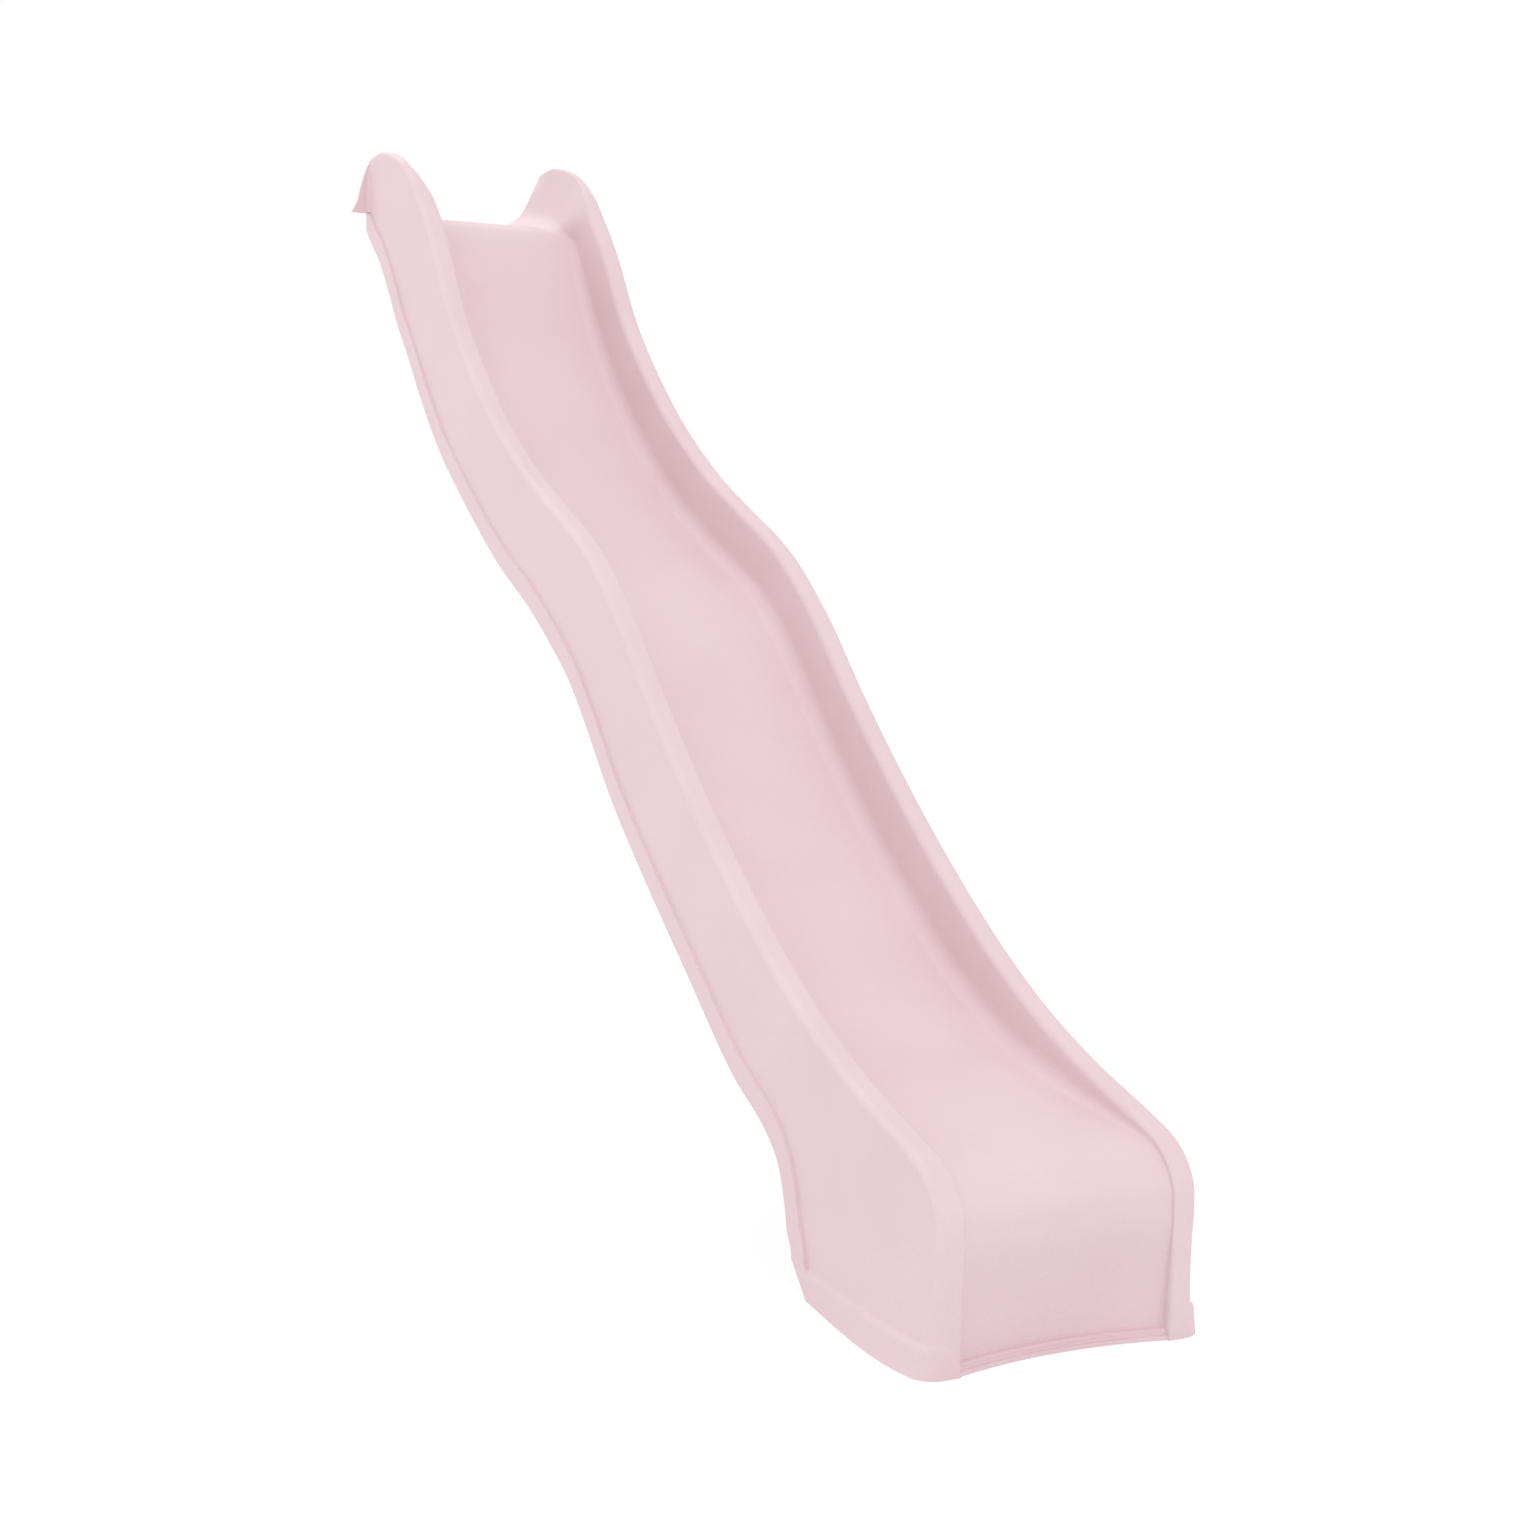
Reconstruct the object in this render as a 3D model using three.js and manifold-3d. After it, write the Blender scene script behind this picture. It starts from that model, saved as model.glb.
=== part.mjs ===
// Playground slide: a wave chute moulded in one piece, open underneath, whose foot stands on the
// ground and whose lip lies on a platform deck, and the covered screws that hold the lip down.
// Millimetres, +Z up. The chute runs along Y, with its foot in front and its platform end behind.
// The origin is the middle of its footprint, on the ground.

import * as THREE from 'three';
import { mergeVertices } from 'three/addons/utils/BufferGeometryUtils.js';
import Module from 'manifold-3d';

const wasm = await Module();
wasm.setup();

// Driving dimensions: the platform that the slide serves
const platformHeight = 1500;
const run = 2079;

// Driving dimensions: the moulding
const wall = 5;
const rimInside = 288;
const rimWidth = 32;
const wallDraft = 0.155;
const rimInnerRadius = 7;
const rimOuterRadius = 10;
const hemBand = 33;
const hemStep = 5;
const joggle = 4;

// The foot: its side panels on the ground, its wings and the riser that sinks back between them
const footDepth = 299;
const footFlare = 2;
const footBelly = 20;
const footBellyHeight = 160;
const footBellyPeakShare = 0.3;
const footCornerRadius = 32;
const riserRecess = 16.5;
const riserBow = 18;
const riserBowHeight = 200;
const bandRecess = 3;
const bandHeight = 10;
const ledgeSlope = 2;

// The platform end: the mouth between the ears, their flanges and the lip
const mouthLength = 200;
const mouthFade = 45;
const mouthBed = 225;
const mouthTop = 324;
const earLean = 0.53;
const flangeFoot = 34;
const flangeLift = 2;
const lipReach = 80;
const lipWidth = 236;
const lipCornerRadius = 16;

// The covered screws
const screwCount = 4;
const screwPitch = 60;
const screwInset = 32;
const screwDiameter = 6;
const screwLength = 50;
const screwPoint = 9;
const screwHeadDiameter = 12;
const screwHeadHeight = 3;
const capDiameter = 24;
const capHeight = 6.4;
const capWall = 1.3;
const cupHeight = 3.6;
const cupFloor = 1.2;
const cupWall = 1.4;
const holeClearance = 1;
const seatGap = 0.3;
const overrun = 20;

// How finely the curves are cut
const stepsBetweenRibs = 2;
const curveSteps = 2;
const panelSteps = 3;
const turnSteps = 16;

// Each row is one rib of the chute, from the platform end to the top of the foot's wings. It gives where
// the rim's crest, the bed and the hem lie, as shares of the run and of the platform height, and how far
// the rounded corner reaches along the bed and up the inner wall.
const ribShares = [
  { crest: [1.000, 1.071], bed: [1.0000, 1.0033], hem: [1.000, 0.984], corner: 34 },
  { crest: [0.967, 1.074], bed: [0.9690, 0.9987], hem: [0.986, 0.967], corner: 34 },
  { crest: [0.922, 1.058], bed: [0.9358, 0.9928], hem: [0.962, 0.941], corner: 28 },
  { crest: [0.886, 1.029], bed: [0.9076, 0.9848], hem: [0.933, 0.897], corner: 18 },
  { crest: [0.860, 0.994], bed: [0.8884, 0.9735], hem: [0.912, 0.861], corner: 7 },
  { crest: [0.831, 0.949], bed: [0.8673, 0.9324], hem: [0.888, 0.828], corner: 18 },
  { crest: [0.791, 0.871], bed: [0.8245, 0.8453], hem: [0.846, 0.766], corner: 22 },
  { crest: [0.747, 0.808], bed: [0.7776, 0.7750], hem: [0.800, 0.707], corner: 22 },
  { crest: [0.691, 0.744], bed: [0.7179, 0.7043], hem: [0.738, 0.647], corner: 22 },
  { crest: [0.628, 0.689], bed: [0.6506, 0.6438], hem: [0.667, 0.587], corner: 22 },
  { crest: [0.570, 0.650], bed: [0.5872, 0.6012], hem: [0.601, 0.543], corner: 22 },
  { crest: [0.523, 0.621], bed: [0.5430, 0.5754], hem: [0.556, 0.507], corner: 22 },
  { crest: [0.486, 0.591], bed: [0.5122, 0.5531], hem: [0.520, 0.474], corner: 22 },
  { crest: [0.439, 0.539], bed: [0.4693, 0.5087], hem: [0.487, 0.432], corner: 22 },
  { crest: [0.386, 0.467], bed: [0.4149, 0.4336], hem: [0.437, 0.362], corner: 22 },
  { crest: [0.326, 0.393], bed: [0.3501, 0.3528], hem: [0.376, 0.293], corner: 22 },
  { crest: [0.269, 0.330], bed: [0.2872, 0.2855], hem: [0.312, 0.226], corner: 22 },
  { crest: [0.211, 0.273], bed: [0.2261, 0.2305], hem: [0.251, 0.162], corner: 22 },
  { crest: [0.154, 0.227], bed: [0.1655, 0.1903], hem: [0.205, 0.128], corner: 22 },
  { crest: [0.096, 0.192], bed: [0.1028, 0.1680], hem: [0.183, 0.102], corner: 22 },
  { crest: [0.046, 0.169], bed: [0.0484, 0.1568], hem: [0.173, 0.070], corner: 22 },
  { crest: [0.017, 0.152], bed: [0.0196, 0.1468], hem: [0.169, 0.049], corner: 22 },
  { crest: [0.0024, 0.127], bed: [0.0046, 0.1255], hem: [0.164, 0.036], corner: 22 },
  { crest: [0.000, 0.100], bed: [0.0011, 0.1000], hem: [0.163, 0.028], corner: 22 },
];

// The riser below the wings' tops: how far it lies behind the wings' fronts at each height
const riserLevels = [
  { height: 120, recess: 7.2 },
  { height: 90, recess: 11.8 },
  { height: 60, recess: 14.7 },
];

// How much of a narrow rim's top each of its roundings takes
const rimRoundShares = { inner: 0.36, outer: 0.40 };

// The outline of an ear's flange down to its foot, as shares of the ear's height and of the flange's
// reach past the outer wall.
const flangeShares = [
  [0.88, 0.07],
  [0.70, 0.29],
  [0.45, 0.50],
  [0.20, 0.69],
  [0.00, 1.00],
];

const rimHalf = rimInside / 2;
const outerHalf = rimHalf + rimWidth;
const lipTop = platformHeight + wall;
const wingTop = platformHeight * ribShares[ribShares.length - 1].crest[1];
const earHeight = platformHeight * ribShares[0].crest[1] - lipTop;

// How many of a half section's points lie on the bed, and how many go on over the ear
const bedPoints = 2;
const earPoints = 3 * (curveSteps + 1) + 1;

function clampShare(value) {
  return Math.min(Math.max(value, 0), 1);
}

function smoothShare(value) {
  const share = clampShare(value);
  return share * share * (3 - 2 * share);
}

// Half the width over the outer wall at a place on the side panel. The foot flares and bellies out, and
// the hem steps out along its edge.
function panelHalfWidth(y, z, edgeDistance) {
  const rearward = clampShare(y / footDepth);
  const forward = 1 - rearward;
  const low = clampShare(1 - z / footBellyHeight);
  const swell = rearward ** (Math.log(2) / -Math.log(footBellyPeakShare));
  const belly = footBelly * Math.sin(Math.PI * swell) * low * low;
  const step = hemStep * clampShare((hemBand + joggle - edgeDistance) / joggle);
  return outerHalf + footFlare * forward + belly + step;
}

// A place on one of the three rails that the ribs hang on, seen from the side: across is Y, up is Z.
function railPoint(name, share) {
  const points = ribShares.map((rib) => {
    return new THREE.Vector2(run * rib[name][0], platformHeight * rib[name][1]);
  });
  return new THREE.SplineCurve(points).getPoint(share);
}

// How far the corner between bed and inner wall reaches at a rib.
function cornerReach(share) {
  const place = share * (ribShares.length - 1);
  const before = Math.min(Math.floor(place), ribShares.length - 2);
  const past = place - before;
  return ribShares[before].corner * (1 - past) + ribShares[before + 1].corner * past;
}

// A unit vector square to a rail, on its upper and forward side.
function railNormal(name, share) {
  const reach = 1 / (ribShares.length * stepsBetweenRibs * 2);
  const before = railPoint(name, clampShare(share - reach));
  const along = railPoint(name, clampShare(share + reach)).sub(before).normalize();
  return new THREE.Vector2(along.y, -along.x);
}

function slopeRibs() {
  const count = (ribShares.length - 1) * stepsBetweenRibs;
  const ribs = [];
  for (let i = 0; i <= count; i += 1) {
    const share = i / count;
    ribs.push({
      crest: railPoint('crest', share),
      bed: railPoint('bed', share),
      hem: railPoint('hem', share),
      corner: cornerReach(share),
      crestNormal: railNormal('crest', share),
      hemInward: railNormal('hem', share),
    });
  }
  // The last rib stands upright, in the plane that meets the platform.
  ribs[0].crestNormal = new THREE.Vector2(0, 1);
  ribs[0].hemInward = new THREE.Vector2(0, 1);
  return ribs;
}

// The level ribs of the foot, from below the wings' tops down to the ground. The riser's small band
// stands forward of the riser, under a ledge.
function footRibs() {
  const lastHem = railPoint('hem', 1);
  const lastInward = railNormal('hem', 1);
  const forward = new THREE.Vector2(-1, 0);
  const stepTop = hemBand + joggle;
  const levels = [
    ...riserLevels,
    { height: stepTop, recess: riserRecess },
    { height: hemBand, recess: riserRecess },
    { height: bandHeight + ledgeSlope, recess: riserRecess },
    { height: bandHeight, recess: bandRecess },
    { height: 0, recess: bandRecess },
  ];
  return levels.map(({ height, recess }) => {
    const above = clampShare((height - stepTop) / (wingTop - stepTop));
    const hemHeight = above > 0 ? stepTop + (lastHem.y - stepTop) * above : height;
    const hemY = footDepth + (lastHem.x - footDepth) * (hemHeight / lastHem.y);
    return {
      crest: new THREE.Vector2(0, height),
      bed: new THREE.Vector2(recess, height),
      hem: new THREE.Vector2(hemY, hemHeight),
      corner: ribShares[ribShares.length - 1].corner,
      crestNormal: forward,
      hemInward: forward.clone().lerp(lastInward, above).normalize(),
    };
  });
}

// Places along a rounded corner between two straight stretches.
function roundedCorner(start, corner, end) {
  return new THREE.QuadraticBezierCurve(start, corner, end).getPoints(curveSteps);
}

// The rim is narrower between the ears, where the inner walls lean out. Its roundings shrink with it.
function rimRadius(radius, share, topHalf) {
  return Math.min(radius, (outerHalf - topHalf) * share);
}

// The inner wall of a rib: where it meets the bed and where it ends at the rim, as half widths, and how
// far it bends upright on its way. The ears' walls lean out, the others stand at the moulding's draft.
function innerWall(rise, mouth) {
  const draftFoot = rimHalf - wallDraft * rise;
  const footHalf = draftFoot + (mouthBed / 2 - draftFoot) * mouth;
  const lean = wallDraft + (earLean - wallDraft) * mouth;
  const leaningTop = footHalf + lean * rise;
  const topHalf = Math.min(leaningTop, mouthTop / 2);
  return { footHalf, topHalf, bend: leaningTop - topHalf };
}

// A rib's inside, from the middle of the bed up the inner wall to the top of the rim. Places are given
// across the chute and above the bed.
function insideOutline(rib, rise, { footHalf, topHalf, bend }) {
  const reach = Math.min(rib.corner, rise / 2);
  const radius = Math.min(rimRadius(rimInnerRadius, rimRoundShares.inner, topHalf), rise / 3);
  const wallPlace = (height) => {
    const share = height / rise;
    return new THREE.Vector2(footHalf + (topHalf - footHalf + bend) * share - bend * share * share, height);
  };
  return [
    new THREE.Vector2(0, 0),
    new THREE.Vector2((footHalf - reach) / 2, 0),
    ...roundedCorner(
      new THREE.Vector2(footHalf - reach, 0),
      new THREE.Vector2(footHalf, 0),
      wallPlace(reach),
    ),
    wallPlace((reach + rise - radius) / 2),
    ...roundedCorner(
      wallPlace(rise - radius),
      new THREE.Vector2(topHalf, rise),
      new THREE.Vector2(topHalf + radius, rise),
    ),
  ];
}

// The riser is hollowed towards the middle, most at the ground.
function riserHollow(level, across) {
  const low = clampShare(1 - level.y / riserBowHeight);
  const near = clampShare(2 - level.x / riserRecess);
  const middle = clampShare(1 - (across / rimHalf) ** 2);
  return riserBow * low * near * middle;
}

// Half of a rib's section, from the middle of the bed out over the rim and down to the hem.
function halfSection(rib) {
  const rise = rib.crest.distanceTo(rib.bed);
  const mouth = smoothShare(1 + (mouthLength - run + rib.bed.x) / mouthFade);
  const inner = innerWall(rise, mouth);
  const points = insideOutline(rib, rise, inner).map((place) => {
    const level = rib.bed.clone().lerp(rib.crest, place.y / rise);
    return new THREE.Vector3(place.x, level.x + riserHollow(level, place.x), level.y);
  });

  const low = clampShare(1 - rib.crest.y / wingTop);
  const rounding = rimRadius(rimOuterRadius, rimRoundShares.outer, inner.topHalf);
  const radius = rounding + (footCornerRadius - rimOuterRadius) * low;
  const shoulder = rib.crest.clone().addScaledVector(rib.crestNormal, -radius);
  const shoulderHalf = panelHalfWidth(shoulder.x, shoulder.y, shoulder.y);
  const over = roundedCorner(
    new THREE.Vector2(shoulderHalf - radius, 0),
    new THREE.Vector2(shoulderHalf, 0),
    new THREE.Vector2(shoulderHalf, radius),
  );
  for (const place of over) {
    const level = rib.crest.clone().addScaledVector(rib.crestNormal, -place.y);
    points.push(new THREE.Vector3(place.x, level.x, level.y));
  }

  const stepTop = rib.hem.clone().addScaledVector(rib.hemInward, hemBand + joggle);
  const stepFoot = rib.hem.clone().addScaledVector(rib.hemInward, hemBand);
  for (let i = 1; i <= panelSteps; i += 1) {
    const level = shoulder.clone().lerp(stepTop, i / panelSteps);
    points.push(new THREE.Vector3(panelHalfWidth(level.x, level.y, level.y), level.x, level.y));
  }
  points.push(new THREE.Vector3(panelHalfWidth(stepFoot.x, stepFoot.y, hemBand), stepFoot.x, stepFoot.y));
  points.push(new THREE.Vector3(panelHalfWidth(rib.hem.x, rib.hem.y, 0), rib.hem.x, rib.hem.y));
  return points;
}

// The face of the moulding as rows of points: a row for each rib, from one hem across to the other.
function faceRows() {
  return [...slopeRibs(), ...footRibs()].map((rib) => {
    const half = halfSection(rib);
    const mirrored = half.slice(1).reverse().map((point) => new THREE.Vector3(-point.x, point.y, point.z));
    return [...mirrored, ...half];
  });
}

// The face's outward direction at each point. It stays level at the ground, upright at the platform and
// square to the hems, so that the cut edges there are flat.
function faceNormals(rows) {
  const lastRow = rows.length - 1;
  const lastColumn = rows[0].length - 1;
  return rows.map((row, i) => row.map((point, j) => {
    if (j === 0 || j === lastColumn) {
      return new THREE.Vector3(Math.sign(point.x), 0, 0);
    }
    const along = rows[Math.min(i + 1, lastRow)][j].clone().sub(rows[Math.max(i - 1, 0)][j]);
    const across = row[j + 1].clone().sub(row[j - 1]);
    const normal = along.cross(across);
    if (i === 0) {
      normal.y = 0;
    }
    if (i === lastRow) {
      normal.z = 0;
    }
    return normal.normalize();
  }));
}

function offsetRows(rows, normals, distance) {
  return rows.map((row, i) => row.map((point, j) => {
    return point.clone().addScaledVector(normals[i][j], distance);
  }));
}

// A closed wall between the face and the same face moved inwards.
function walledGeometry(face, back) {
  const lastRow = face.length - 1;
  const lastColumn = face[0].length - 1;
  const positions = [...face.flat(), ...back.flat()].flatMap((point) => point.toArray());
  const index = [];
  const at = (side, i, j) => side * face.length * (lastColumn + 1) + i * (lastColumn + 1) + j;
  const quad = (a, b, c, d) => index.push(a, b, c, a, c, d);
  for (let i = 0; i < lastRow; i += 1) {
    for (let j = 0; j < lastColumn; j += 1) {
      quad(at(0, i, j), at(0, i + 1, j), at(0, i + 1, j + 1), at(0, i, j + 1));
      quad(at(1, i, j), at(1, i, j + 1), at(1, i + 1, j + 1), at(1, i + 1, j));
    }
    quad(at(0, i, 0), at(1, i, 0), at(1, i + 1, 0), at(0, i + 1, 0));
    quad(at(0, i, lastColumn), at(0, i + 1, lastColumn), at(1, i + 1, lastColumn), at(1, i, lastColumn));
  }
  for (let j = 0; j < lastColumn; j += 1) {
    quad(at(0, 0, j), at(0, 0, j + 1), at(1, 0, j + 1), at(1, 0, j));
    quad(at(0, lastRow, j), at(1, lastRow, j), at(1, lastRow, j + 1), at(0, lastRow, j + 1));
  }
  const geometry = new THREE.BufferGeometry();
  geometry.setAttribute('position', new THREE.Float32BufferAttribute(positions, 3));
  geometry.setIndex(index);
  return geometry;
}

function solidFrom(geometry) {
  const bare = geometry.clone();
  bare.deleteAttribute('normal');
  bare.deleteAttribute('uv');
  const merged = mergeVertices(bare);
  return new wasm.Manifold(new wasm.Mesh({
    numProp: 3,
    vertProperties: new Float32Array(merged.attributes.position.array),
    triVerts: new Uint32Array(merged.index.array),
  }));
}

function geometryFrom(solid) {
  const mesh = solid.getMesh();
  const geometry = new THREE.BufferGeometry();
  geometry.setAttribute('position', new THREE.BufferAttribute(mesh.vertProperties, 3));
  geometry.setIndex(new THREE.BufferAttribute(mesh.triVerts, 1));
  geometry.computeVertexNormals();
  return geometry;
}

// The flat flange of one ear. It closes the ear's hollow at the platform and reaches outwards past the
// outer wall, widest at its foot, where it bears on a post.
function earFlangeGeometry(side, rearSection) {
  const foot = lipTop + flangeLift;
  const earSection = rearSection.slice(bedPoints, bedPoints + earPoints);
  const outline = [
    ...earSection.map((point) => [point.x, point.z]),
    ...flangeShares.map(([height, reach]) => [
      outerHalf + flangeFoot * reach,
      foot + (earHeight - flangeLift) * height,
    ]),
    [outerHalf - wall, foot],
    [lipWidth / 2, lipTop - wall / 2],
  ];
  const shape = new THREE.Shape(outline.map(([x, z]) => new THREE.Vector2(side * x, z)));
  const geometry = new THREE.ExtrudeGeometry(shape, { depth: wall, bevelEnabled: false });
  geometry.rotateX(Math.PI / 2);
  geometry.translate(0, run, 0);
  return geometry;
}

function screwPlaces() {
  const places = [];
  for (let i = 0; i < screwCount; i += 1) {
    places.push(new THREE.Vector2((i - (screwCount - 1) / 2) * screwPitch, run + lipReach - screwInset));
  }
  return places;
}

// The lip that lies on the deck, with round rear corners.
function lipGeometry() {
  const half = lipWidth / 2;
  const start = run - wall;
  const end = run + lipReach;
  const shape = new THREE.Shape();
  shape.moveTo(-half, start);
  shape.lineTo(half, start);
  shape.lineTo(half, end - lipCornerRadius);
  shape.absarc(half - lipCornerRadius, end - lipCornerRadius, lipCornerRadius, 0, Math.PI / 2, false);
  shape.lineTo(lipCornerRadius - half, end);
  shape.absarc(lipCornerRadius - half, end - lipCornerRadius, lipCornerRadius, Math.PI / 2, Math.PI, false);
  shape.closePath();
  const geometry = new THREE.ExtrudeGeometry(shape, {
    depth: wall,
    bevelEnabled: false,
    curveSegments: turnSteps / 4,
  });
  geometry.translate(0, 0, platformHeight);
  return geometry;
}

function screwHoleGeometry(place) {
  const geometry = new THREE.CylinderGeometry(
    screwDiameter / 2 + holeClearance,
    screwDiameter / 2 + holeClearance,
    wall + overrun * 2,
    turnSteps,
  );
  geometry.rotateX(Math.PI / 2);
  geometry.translate(place.x, place.y, platformHeight + wall / 2);
  return geometry;
}

function chuteGeometry() {
  const face = faceRows();
  const normals = faceNormals(face);
  const back = offsetRows(face, normals, -wall);
  const middle = (face[0].length - 1) / 2;
  const rearSection = offsetRows(face, normals, -wall / 2)[0].slice(middle);
  let solid = solidFrom(walledGeometry(face, back));
  for (const side of [-1, 1]) {
    solid = solid.add(solidFrom(earFlangeGeometry(side, rearSection)));
  }
  solid = solid.add(solidFrom(lipGeometry()));
  for (const place of screwPlaces()) {
    solid = solid.subtract(solidFrom(screwHoleGeometry(place)));
  }
  return geometryFrom(solid);
}

// A turned piece from its outline: distances from the axis and heights.
function turnedGeometry(outline) {
  const points = outline.map(([radius, height]) => new THREE.Vector2(radius, height));
  const geometry = new THREE.LatheGeometry(points, turnSteps);
  geometry.rotateX(Math.PI / 2);
  return geometryFrom(solidFrom(geometry));
}

function ringGeometry(outline) {
  return turnedGeometry([...outline, outline[0]]);
}

const cupRadius = capDiameter / 2 - capWall - seatGap;
const cupSeat = lipTop + seatGap;
const headSeat = cupSeat + cupFloor + seatGap;

// A wood screw with a domed pan head, its head's underside at height zero.
function screwGeometry() {
  return turnedGeometry([
    [0, -screwLength],
    [screwDiameter / 2, screwPoint - screwLength],
    [screwDiameter / 2, 0],
    [screwHeadDiameter / 2, 0],
    [screwHeadDiameter / 2, screwHeadHeight / 2],
    [screwHeadDiameter / 4, screwHeadHeight],
    [0, screwHeadHeight],
  ]);
}

// The cup washer under the screw's head. The lid snaps over its rim.
function cupGeometry() {
  const bore = screwDiameter / 2 + holeClearance;
  return ringGeometry([
    [bore, 0],
    [cupRadius, 0],
    [cupRadius, cupHeight],
    [cupRadius - cupWall, cupHeight],
    [cupRadius - cupWall, cupFloor],
    [bore, cupFloor],
  ]);
}

// The lid, domed outside and hollow inside, open at the foot.
function lidGeometry() {
  const radius = capDiameter / 2;
  const inside = capHeight - capWall;
  const shoulder = capHeight / 2;
  return turnedGeometry([
    [0, inside],
    [screwHeadDiameter / 2, inside],
    [radius - capWall, cupHeight + seatGap],
    [radius - capWall, 0],
    [radius, 0],
    [radius, shoulder],
    [radius - capWall * 2, inside],
    [screwHeadDiameter / 2, capHeight],
    [0, capHeight],
  ]);
}

function plasticMaterial() {
  return new THREE.MeshStandardMaterial({ color: 0xe9d1d5, roughness: 0.5, metalness: 0 });
}

function capMaterial() {
  return new THREE.MeshStandardMaterial({ color: 0xe3c3c9, roughness: 0.4, metalness: 0 });
}

function steelMaterial() {
  return new THREE.MeshStandardMaterial({ color: 0xb9bcc0, roughness: 0.35, metalness: 1 });
}

function namedMesh(name, geometry, material) {
  const mesh = new THREE.Mesh(geometry, material);
  mesh.name = name;
  return mesh;
}

// One covered fixing: screw, cup washer and lid, placed on its hole.
function fixing(number, place) {
  const group = new THREE.Group();
  const pieces = [
    [`deck_screw_${number}`, screwGeometry(), steelMaterial(), headSeat],
    [`cup_washer_${number}`, cupGeometry(), capMaterial(), cupSeat],
    [`cap_lid_${number}`, lidGeometry(), capMaterial(), cupSeat],
  ];
  for (const [name, geometry, material, height] of pieces) {
    const mesh = namedMesh(name, geometry, material);
    mesh.position.z = height;
    group.add(mesh);
  }
  group.position.set(place.x, place.y, 0);
  return group;
}

const slide = new THREE.Group();
slide.add(namedMesh('chute_shell', chuteGeometry(), plasticMaterial()));
screwPlaces().forEach((place, i) => slide.add(fixing(i + 1, place)));
slide.position.y = -(run + lipReach) / 2;

export default slide;
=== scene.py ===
import math

import bmesh
import bpy
from mathutils import Matrix, Vector


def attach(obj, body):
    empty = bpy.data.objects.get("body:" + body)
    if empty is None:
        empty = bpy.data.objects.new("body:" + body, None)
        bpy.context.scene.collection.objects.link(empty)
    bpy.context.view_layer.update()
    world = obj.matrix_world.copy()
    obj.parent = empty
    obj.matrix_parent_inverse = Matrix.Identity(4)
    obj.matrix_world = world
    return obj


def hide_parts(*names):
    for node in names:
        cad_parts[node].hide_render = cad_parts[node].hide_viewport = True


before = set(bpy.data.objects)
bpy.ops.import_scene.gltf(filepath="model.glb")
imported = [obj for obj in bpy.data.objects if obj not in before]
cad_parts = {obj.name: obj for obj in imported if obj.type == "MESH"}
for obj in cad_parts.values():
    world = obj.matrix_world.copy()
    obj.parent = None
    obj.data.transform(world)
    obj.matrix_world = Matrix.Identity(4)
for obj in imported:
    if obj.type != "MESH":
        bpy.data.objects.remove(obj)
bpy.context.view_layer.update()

# The chute's skin. A real one is rotationally moulded from pale pink polyethylene as one shell, about 5 mm
# thick and open underneath: bed, walls, rims, ears, wings and riser are one skin, trimmed along its hems.
# It hangs on ribs whose crest, bed and hem run along three rails, seen here from the side.
platform_height = 1.5
run = 2.079
wing_front_y = -1.0795
platform_edge_y = wing_front_y + run
wall = 0.005
rim_inside_half = 0.144
outer_half = 0.176
rim_width = outer_half - rim_inside_half
hem_band = 0.033
hem_step = 0.005
joggle = 0.002
rib_shares = [
    # crest, bed and hem: shares of the run and of the platform's height, from the platform to the wings;
    # and how far the corner between bed and wall reaches
    ((1.000, 1.071), (1.0000, 1.0033), (1.000, 0.984), 0.034),
    ((0.967, 1.0733), (0.9690, 0.9987), (0.986, 0.967), 0.034),
    ((0.922, 1.058), (0.9358, 0.9928), (0.962, 0.941), 0.028),
    ((0.886, 1.029), (0.9076, 0.9848), (0.933, 0.897), 0.018),
    ((0.860, 0.994), (0.8884, 0.9735), (0.912, 0.861), 0.007),
    ((0.831, 0.949), (0.8673, 0.9324), (0.888, 0.828), 0.018),
    ((0.791, 0.871), (0.8245, 0.8453), (0.846, 0.766), 0.022),
    ((0.747, 0.808), (0.7776, 0.7750), (0.800, 0.707), 0.022),
    ((0.691, 0.744), (0.7179, 0.7043), (0.738, 0.647), 0.022),
    ((0.628, 0.689), (0.6506, 0.6438), (0.667, 0.587), 0.022),
    ((0.570, 0.650), (0.5872, 0.6012), (0.601, 0.543), 0.022),
    ((0.523, 0.621), (0.5430, 0.5754), (0.556, 0.507), 0.022),
    ((0.486, 0.591), (0.5122, 0.5531), (0.520, 0.474), 0.022),
    ((0.439, 0.539), (0.4693, 0.5087), (0.487, 0.432), 0.022),
    ((0.386, 0.467), (0.4149, 0.4336), (0.437, 0.362), 0.022),
    ((0.326, 0.393), (0.3501, 0.3528), (0.376, 0.293), 0.022),
    ((0.269, 0.330), (0.2872, 0.2855), (0.312, 0.226), 0.022),
    ((0.211, 0.273), (0.2261, 0.2305), (0.251, 0.162), 0.022),
    ((0.154, 0.227), (0.1655, 0.1903), (0.205, 0.128), 0.022),
    ((0.096, 0.192), (0.1028, 0.1680), (0.183, 0.102), 0.022),
    ((0.046, 0.169), (0.0484, 0.1568), (0.173, 0.070), 0.022),
    ((0.017, 0.152), (0.0196, 0.1468), (0.169, 0.049), 0.022),
    ((0.0024, 0.127), (0.0046, 0.1255), (0.164, 0.036), 0.022),
    ((0.000, 0.100), (0.0019, 0.1000), (0.163, 0.028), 0.022),
]
crest_rail, bed_rail, hem_rail = (
    [Vector((run * rib[k][0], platform_height * rib[k][1])) for rib in rib_shares] for k in range(3)
)


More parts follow.
